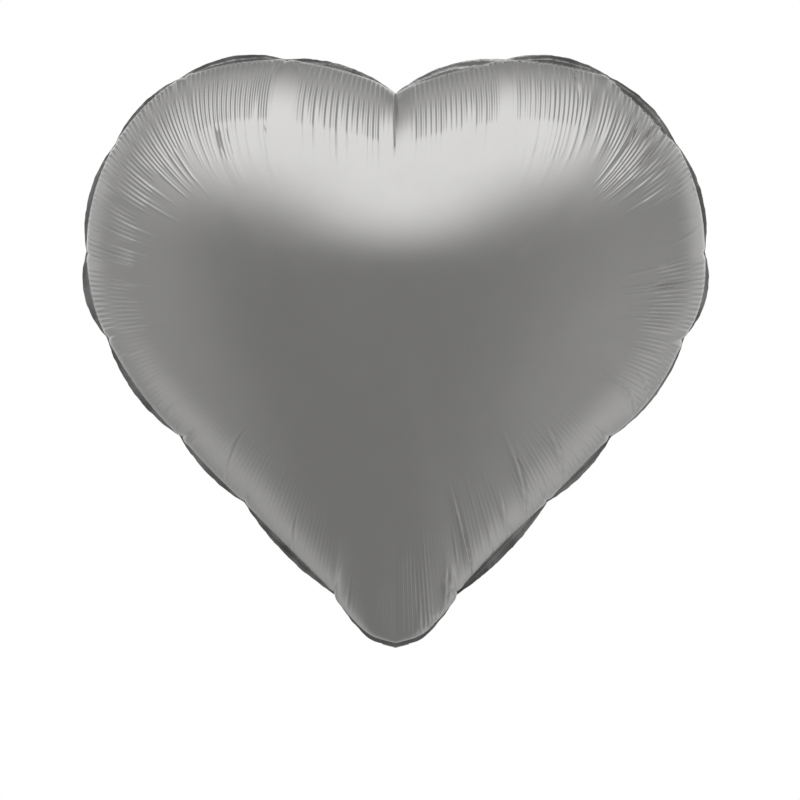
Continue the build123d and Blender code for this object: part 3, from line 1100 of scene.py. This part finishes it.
# ======== stage, light and camera
FLOOR_HALF = 2.5
FLOOR_Z = -0.45
LIGHT_UP = np.radians(64)  # height of the soft light in front, over the balloon
LIGHT_SIZE = (0.68, 0.68, 0.54)  # half its width, its height above the middle and below
LIGHT_ASIDE = 0.04  # how far its middle is to the left
LIGHT_SOFT_TOP = 0.72  # under 1, it fades more slowly above its middle than below
LIGHT_EDGE = (0.5, 1.45)  # where it starts to fade and where it ends, in half sizes
LIGHT_STRENGTH = 0.89
FRONT_STRENGTH = 0.275
SIDE_STRENGTH = (0.42, 0.44)  # left and right
SIDE_START = (0.35, -0.1)
SIDE_SLOPE = ((0.87, 0.85), (0.93, 0.55))  # times that much below and above the horizon, left and right
WING_STRENGTH = 0.26  # pale walls on both sides, well behind
UNDER_STRENGTH = 0.2  # light thrown back by the floor, behind
BACK_STRENGTH = 1.0
BACK_EDGE = (0.84, 1.0)
LENS = 150.0
SENSOR = 36.0
PICTURE_WIDTH = 0.4594  # at the balloon
PICTURE_MIDDLE = (0.0025, 0.1418)  # x and z
LEFT, RIGHT, UP, DOWN, REAR = (-1, 0, 0), (1, 0, 0), (0, 0, 1), (0, 0, -1), (0, 1, 0)


def pale_floor():
    """A floor far below the balloon that gives off a little light, so that it stays pale."""
    mesh = bpy.data.meshes.new("floor")
    corners = [(x * FLOOR_HALF, y * FLOOR_HALF, 0) for x, y in ((-1, -1), (1, -1), (1, 1), (-1, 1))]
    mesh.from_pydata(corners, [], [(0, 1, 2, 3)])
    floor = add_to_scene(bpy.data.objects.new("floor", mesh))
    floor.location.z = FLOOR_Z
    floor.visible_glossy = False
    paint = Shading("pale_floor")
    paint.set(Base_Color=(0.85, 0.85, 0.85, 1), Roughness=0.8)
    paint.set(Emission_Color=(1, 1, 1, 1), Emission_Strength=0.6)
    finish_with(paint.material, [floor])


def overhead_lamp(location, target, size, power):
    """A lamp for the floor alone; the foil shows the soft light painted on the world below."""
    data = bpy.data.lights.new("overhead", "AREA")
    data.shape = "RECTANGLE"
    data.size = data.size_y = size
    data.energy = power
    lamp = add_to_scene(bpy.data.objects.new("overhead", data))
    lamp.location = location
    lamp.rotation_mode = "QUATERNION"
    way = Vector(target) - Vector(location)
    lamp.rotation_quaternion = way.to_track_quat("-Z", "Y")
    lamp.visible_glossy = False


class Sky(NodeTree):
    """The light from all round, as a brightness for each direction."""

    def __init__(self, name):
        self.world = bpy.data.worlds.new(name)
        super().__init__(self.world, "Generated")

    def times(self, first, second):
        return self.math("MULTIPLY", first, second)

    def along(self, direction):
        """How far the way looked in goes along a direction, from -1 to 1."""
        node = self.nodes.new("ShaderNodeVectorMath")
        node.operation = "DOT_PRODUCT"
        self.links.new(self.place, node.inputs[0])
        node.inputs[1].default_value = direction
        return node.outputs["Value"]

    def ramp(self, direction, start, end, low, high):
        """Low before start along a direction, high after end, and smooth between."""
        return self.spread(self.along(direction), low, high, start, end, "SMOOTHSTEP")


def soft_light(sky):
    """The wide light above in front, strongest over the balloon."""
    across = sky.math("DIVIDE", sky.math("ADD", sky.along(RIGHT), LIGHT_ASIDE), LIGHT_SIZE[0])
    upwards = sky.along((0, np.sin(LIGHT_UP), np.cos(LIGHT_UP)))
    above = sky.math("MAXIMUM", sky.math("DIVIDE", upwards, LIGHT_SIZE[1]), 0)
    below = sky.math("MAXIMUM", sky.math("DIVIDE", upwards, -LIGHT_SIZE[2]), 0)
    upwards = sky.math("ADD", sky.math("POWER", above, LIGHT_SOFT_TOP), below)
    squares = sky.math("ADD", sky.times(across, across), sky.times(upwards, upwards))
    spot = sky.spread(sky.math("SQRT", squares), LIGHT_STRENGTH, 0, *LIGHT_EDGE, "SMOOTHSTEP")
    return sky.times(spot, sky.ramp((0, -np.cos(LIGHT_UP), np.sin(LIGHT_UP)), 0, 0.2, 0, 1))


def side_light(sky, direction, start, strength, slope):
    """Brightness that grows from the front to one side."""
    light = sky.ramp(direction, start, 1, 0, strength - FRONT_STRENGTH)
    return sky.times(light, sky.ramp(UP, -0.35, 0.35, *slope))


def rear_light(sky):
    """The pale walls well behind on both sides, and the light thrown back by the floor."""
    outwards = sky.math("ABSOLUTE", sky.along(RIGHT))
    wings = sky.spread(outwards, 0, WING_STRENGTH, 0.2, 0.5, "SMOOTHSTEP")
    wings = sky.times(wings, sky.ramp(UP, -0.4, 0.1, 0, 1))
    wings = sky.times(wings, sky.ramp(REAR, 0.25, 0.75, 0, 1))
    under = sky.times(sky.ramp(DOWN, 0.2, 0.6, 0, UNDER_STRENGTH), sky.ramp(REAR, -0.1, 0.5, 0, 1))
    return sky.math("ADD", wings, under)


def back_light(sky):
    """The bright wall straight behind, dimmer towards the floor."""
    light = sky.ramp(REAR, *BACK_EDGE, 0, BACK_STRENGTH - FRONT_STRENGTH)
    return sky.times(light, sky.ramp(UP, -0.3, 0.2, 0.3, 1))


def white_to_camera(sky, strength):
    """Lights the scene with that strength, while the camera itself sees plain white."""
    background = sky.nodes["Background"]
    seen = sky.nodes.new("ShaderNodeBackground")
    for node in (background, seen):
        node.inputs["Color"].default_value = (1, 1, 1, 1)
    sky.put(strength, background.inputs["Strength"])
    path = sky.nodes.new("ShaderNodeLightPath")
    mix = sky.nodes.new("ShaderNodeMixShader")
    sky.put(path.outputs["Is Camera Ray"], mix.inputs["Fac"])
    sky.put(background.outputs[0], mix.inputs[1])
    sky.put(seen.outputs[0], mix.inputs[2])
    sky.put(mix.outputs[0], sky.nodes["World Output"].inputs["Surface"])


def studio_world():
    """Grey light in front, paler at the sides, and the wide soft light above in front."""
    sky = Sky("studio")
    glow = sky.math("ADD", rear_light(sky), sky.math("ADD", back_light(sky), FRONT_STRENGTH))
    for where in zip((LEFT, RIGHT), SIDE_START, SIDE_STRENGTH, SIDE_SLOPE):
        glow = sky.math("ADD", glow, side_light(sky, *where))
    white_to_camera(sky, sky.math("ADD", glow, soft_light(sky)))
    bpy.context.scene.world = sky.world


def add_camera():
    """A level camera straight in front."""
    data = bpy.data.cameras.new("camera")
    data.lens, data.sensor_width = LENS, SENSOR
    camera = add_to_scene(bpy.data.objects.new("camera", data))
    camera.location = (PICTURE_MIDDLE[0], -PICTURE_WIDTH * LENS / SENSOR, PICTURE_MIDDLE[1])
    camera.rotation_euler = (np.pi / 2, 0, 0)
    bpy.context.scene.camera = camera


pale_floor()
overhead_lamp((0.2, -0.5, 1.7), (0, 0, 0.1), 1.2, 22)
studio_world()
add_camera()
bpy.context.scene.view_settings.view_transform = "Standard"
